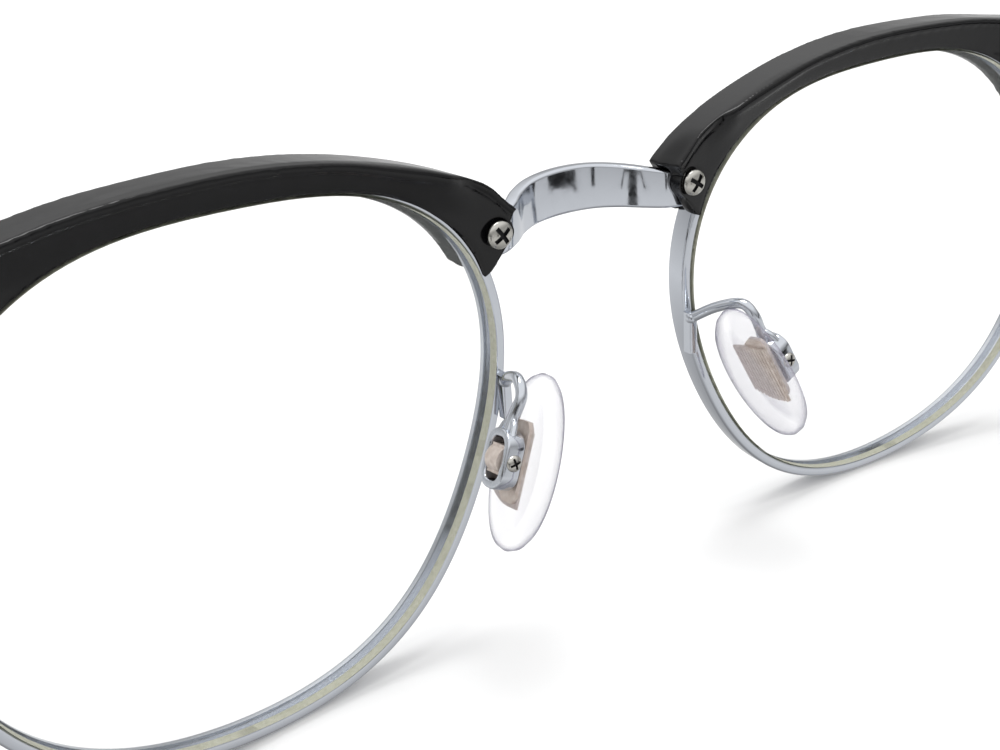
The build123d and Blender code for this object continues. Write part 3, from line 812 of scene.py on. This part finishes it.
ball = addNode(screwTree, "GeometryNodeMeshUVSphere", {"Segments": 40, "Rings": 24, "Radius": 1.0})
flat = addNode(screwTree, "GeometryNodeTransform", {}, {
    "Geometry": ball.outputs["Mesh"],
    "Scale": vectorOf(screwTree, given["Head Radius"], given["Head Radius"], given["Head Height"])})
keep = addNode(screwTree, "GeometryNodeMeshCube", {"Size": (20.0, 20.0, 20.0)})
above = addNode(screwTree, "GeometryNodeTransform", {"Translation": (0, 0, 10.0)},
                {"Geometry": keep.outputs["Mesh"]})
dome = addNode(screwTree, "GeometryNodeMeshBoolean", {}, {
    "Mesh 2": flat.outputs["Geometry"]}, operation="INTERSECT", solver="EXACT")
screwTree.links.new(above.outputs["Geometry"], dome.inputs["Mesh 2"])
slotLength = mathNode(screwTree, "MULTIPLY", given["Head Radius"], 1.4)
slotHeight = mathNode(screwTree, "MULTIPLY", given["Head Height"], 1.1)
lift = vectorOf(screwTree, 0.0, 0.0, given["Head Height"])
cutters = []
for turn in (0.6, 0.6 + pi / 2):
    box = addNode(screwTree, "GeometryNodeMeshCube", {}, {
        "Size": vectorOf(screwTree, slotLength, given["Recess Width"], slotHeight)})
    # The cutters carry the recess material, so the recess faces they leave are painted near black: painted shade
    dark = addNode(screwTree, "GeometryNodeSetMaterial", {}, {
        "Geometry": box.outputs["Mesh"], "Material": given["Recess Material"]})
    moved = addNode(screwTree, "GeometryNodeTransform", {"Rotation": (0, 0, turn)}, {
        "Geometry": dark.outputs["Geometry"], "Translation": lift})
    cutters.append(moved.outputs["Geometry"])
steel = addNode(screwTree, "GeometryNodeSetMaterial", {}, {
    "Geometry": dome.outputs["Mesh"], "Material": given["Material"]})
head = addNode(screwTree, "GeometryNodeMeshBoolean", {}, {
    "Mesh 1": steel.outputs["Geometry"]}, operation="DIFFERENCE", solver="EXACT")
for cutter in cutters:
    screwTree.links.new(cutter, head.inputs["Mesh 2"])
rod = addNode(screwTree, "GeometryNodeMeshCylinder", {"Vertices": 24}, {
    "Radius": given["Shaft Radius"], "Depth": given["Shaft Length"]})
sunk = vectorOf(screwTree, 0.0, 0.0, mathNode(screwTree, "MULTIPLY", given["Shaft Length"], -0.5))
shaft = addNode(screwTree, "GeometryNodeTransform", {}, {
    "Geometry": rod.outputs["Mesh"], "Translation": sunk})
whole = addNode(screwTree, "GeometryNodeJoinGeometry", {}, {"Geometry": head.outputs["Mesh"]})
screwTree.links.new(shaft.outputs["Geometry"], whole.inputs["Geometry"])
aim = addNode(screwTree, "GeometryNodeInputNamedAttribute", {"Name": "aim"}, data_type="FLOAT_VECTOR")
turned = addNode(screwTree, "FunctionNodeAlignRotationToVector", {}, {
    "Vector": aim.outputs["Attribute"]}, axis="Z")
dotted = addNode(screwTree, "GeometryNodeMeshToPoints", {}, {"Mesh": given["Spots"]})
placed = addNode(screwTree, "GeometryNodeInstanceOnPoints", {}, {
    "Points": dotted.outputs["Points"], "Instance": whole.outputs["Geometry"],
    "Rotation": turned.outputs["Rotation"]})
real = addNode(screwTree, "GeometryNodeRealizeInstances", {}, {"Geometry": placed.outputs["Instances"]})
darkPart = addNode(screwTree, "GeometryNodeMaterialSelection", {}, {"Material": given["Recess Material"]})
brightPart = addNode(screwTree, "FunctionNodeBooleanMath", {}, {
    "Boolean": darkPart.outputs["Selection"]}, operation="NOT")
painted = addNode(screwTree, "GeometryNodeSetMaterial", {}, {
    "Geometry": real.outputs["Geometry"], "Selection": brightPart.outputs["Boolean"],
    "Material": given["Material"]})
addNode(screwTree, "NodeGroupOutput", {}, {"Mesh": painted.outputs["Geometry"]})


def screwPair(name, node, place, at, aim, sizes):
    # One screw at that place in millimetres, and its mirror image
    spots = pointObject([at], [aim], "aim")
    head, height, shaft, length, recess = sizes
    mesh = bakeTree(spots, screwTree, {
        "Head Radius": head, "Head Height": height, "Shaft Radius": shaft, "Shaft Length": length,
        "Recess Width": recess, "Material": screwSteel, "Recess Material": recessShade})
    mesh.transform(place)
    addPair(name, mesh, None, node, 30)


# Sizes in millimetres: head radius and height, shaft radius and length, width of the recess
nasalY = nasalU * sin(radians(face["wrap"])) + faceDepth(nasalU, nasalZ) + brow["tongueDepth"]
screwPair("brow_screw_nasal", "nasal_brow_screw", frontPlace,
          (nasalX, nasalY + nasalScrew["raise"], nasalZ), (0, 1, 0), nasalScrew["sizes"])

temporalScrew = {"out": 1.05, "up": 2.6, "sink": 0.1, "sizes": (1.0, 0.55, 0.6, 3.4, 0.25)}
lockU = outline(angleAt(rim["split"]), rim["thickness"])[0]
temporalY = faceDepth(lockU + 1.85, rim["split"]) + brow["rear"] - temporalScrew["sink"]
screwPair("brow_screw_temporal", "temporal_brow_screw", lensPlace,
          (lockU + temporalScrew["out"], temporalY, rim["split"] + temporalScrew["up"]), (0, 1, 0),
          temporalScrew["sizes"])

hingeScrew = {"top": 3.35, "sizes": (1.15, 0.5, 0.6, 6.7, 0.25)}
screwPair("hinge_screw_head", "hinge_screw", hingePlace, (0, 0, hingeScrew["top"]), (0, 0, 1),
          hingeScrew["sizes"])

padScrew = {"sizes": (0.7, 0.35, 0.4, 3.4, 0.2)}
screwPair("pad_screw_head", "pad_screw", padPlace, (pad["boxWidth"] / 2, 0, pivotZ), (1, 0, 0),
          padScrew["sizes"])
print("stage: screws made")

# Temples with tumbled edges
temple = {"voxel": 0.3, "smoothing": 5}
addPair("temple_arm", remeshed(cadCopy("arm", "left_temple"), temple["voxel"], temple["smoothing"]),
        acetate, "temple", 60)

# Hinge leaves and locks: merged copies of the CAD pieces
for node in ("hinge_front_leaf", "hinge_temple_leaf"):
    addPair(node + "_plate", cadCopy(node, "left_" + node), nickelSilver, node, 30)
addPair("rim_lock_tube", cadCopy("lock", "left_rim_lock_blocks"), chrome, "rim_lock_blocks", 30)
addPair("rim_lock_pin", cadCopy("pin", "left_rim_lock_screw"), screwSteel, "rim_lock_screw", 30)
print("stage: temples and hinges made")

# Studio: a white table under a large soft dome, darker towards the horizon
studio = {"floorSize": 6.0, "keyPlace": (0.0, -0.2, 0.85), "keyTarget": (0, -0.03, 0),
          "keyPower": 3.3, "keySize": 0.45,
          "sky": ((0.0, 0.3), (0.32, 0.85), (0.5, 0.6), (0.62, 0.43), (0.8, 1.08))}
floorMaterial, tree, shader, place = newMaterial("white table laminate", {
    "Base Color": hexColour("F7F7F7"), "Roughness": 0.7, "Specular IOR Level": 0.2,
})
half = studio["floorSize"] / 2
floorMesh = bpy.data.meshes.new("floor")
floorMesh.from_pydata([(-half, -half, 0), (half, -half, 0), (half, half, 0), (-half, half, 0)], [],
                      [(0, 1, 2, 3)])
floor = bpy.data.objects.new("floor", floorMesh)
floor.data.materials.append(floorMaterial)
bpy.context.scene.collection.objects.link(floor)

world = bpy.data.worlds.new("studio")
bpy.context.scene.world = world
world.use_nodes = True
sky = world.node_tree
background = sky.nodes["Background"]
direction = addNode(sky, "ShaderNodeTexCoord")
split = addNode(sky, "ShaderNodeSeparateXYZ", {}, {"Vector": direction.outputs["Generated"]})
# Height from straight down to straight up, 0 to 1, to the strength of the dome there
height = addNode(sky, "ShaderNodeMapRange", {"From Min": -1.0, "From Max": 1.0},
                 {"Value": split.outputs["Z"]})
ramp = addNode(sky, "ShaderNodeValToRGB", {}, {"Fac": height.outputs["Result"]})
while len(ramp.color_ramp.elements) < len(studio["sky"]):
    ramp.color_ramp.elements.new(0.5)
for element, (at, strength) in zip(ramp.color_ramp.elements, studio["sky"]):
    element.position = at
    element.color = (strength, strength, strength, 1)
sky.links.new(ramp.outputs["Color"], background.inputs["Strength"])
background.inputs["Color"].default_value = hexColour("FFFFFF")


def addLight(name, place, target, size, power):
    data = bpy.data.lights.new(name, "AREA")
    data.shape = "SQUARE"
    data.size = size
    data.energy = power
    light = bpy.data.objects.new(name, data)
    light.location = place
    aim = Vector(target) - Vector(place)
    light.rotation_euler = aim.to_track_quat("-Z", "Y").to_euler()
    bpy.context.scene.collection.objects.link(light)
    return light


keyLight = addLight("key", studio["keyPlace"], studio["keyTarget"], studio["keySize"],
                    studio["keyPower"])

# Dark cards that show only in reflections; the table doesn't show in them
cardMaterial, tree, shader, place = newMaterial("black flag cloth", {
    "Base Color": hexColour("0A0A0B"), "Roughness": 0.9,
})


def addCard(name, centreMm, width, height, towards):
    mesh = bpy.data.meshes.new(name)
    mesh.from_pydata([(-width, -height, 0), (width, -height, 0), (width, height, 0), (-width, height, 0)],
                     [], [(0, 1, 2, 3)])
    mesh.materials.append(cardMaterial)
    card = bpy.data.objects.new(name, mesh)
    spot = Vector(centreMm) / 1000
    card.location = spot
    card.rotation_euler = (Vector(towards) / 1000 - spot).to_track_quat("Z", "Y").to_euler()
    card.visible_camera = False
    card.visible_diffuse = False
    card.visible_shadow = False
    card.visible_transmission = False
    bpy.context.scene.collection.objects.link(card)
    return card


cards = [addCard("card_right", (-95, 60, 18), 0.03, 0.012, (0, -70, 37)),
         addCard("card_back", (-30, 160, 40), 0.012, 0.05, (0, -70, 37)),
         addCard("card_left", (110, 40, 10), 0.015, 0.05, (0, -70, 37))]
floor.visible_glossy = False
bpy.context.scene.view_settings.view_transform = "Standard"

# Camera, close behind the wearer's left lens and a little above
view = {"front": (65.6, 86.8, 46.09), "azimuth": 147.401, "elevation": 23.661, "roll": -4.082,
        "lens": 46.75}
az, el, roll = (radians(view[key]) for key in ("azimuth", "elevation", "roll"))
back = Vector((sin(az) * cos(el), -cos(az) * cos(el), sin(el)))
right = Vector((0, 0, 1)).cross(back).normalized()
up = back.cross(right)
rolledRight = right * cos(roll) + up * sin(roll)
rolledUp = up * cos(roll) - right * sin(roll)
turn = turnBack @ Matrix((rolledRight, rolledUp, back)).transposed().to_4x4()
cameraData = bpy.data.cameras.new("camera")
cameraData.lens = view["lens"]
cameraData.sensor_width = 36.0
cameraData.clip_start = 0.002
camera = bpy.data.objects.new("camera", cameraData)
camera.matrix_world = Matrix.Translation(frontPlace @ Vector(view["front"])) @ turn
bpy.context.scene.collection.objects.link(camera)
bpy.context.scene.camera = camera
print("stage: studio set")
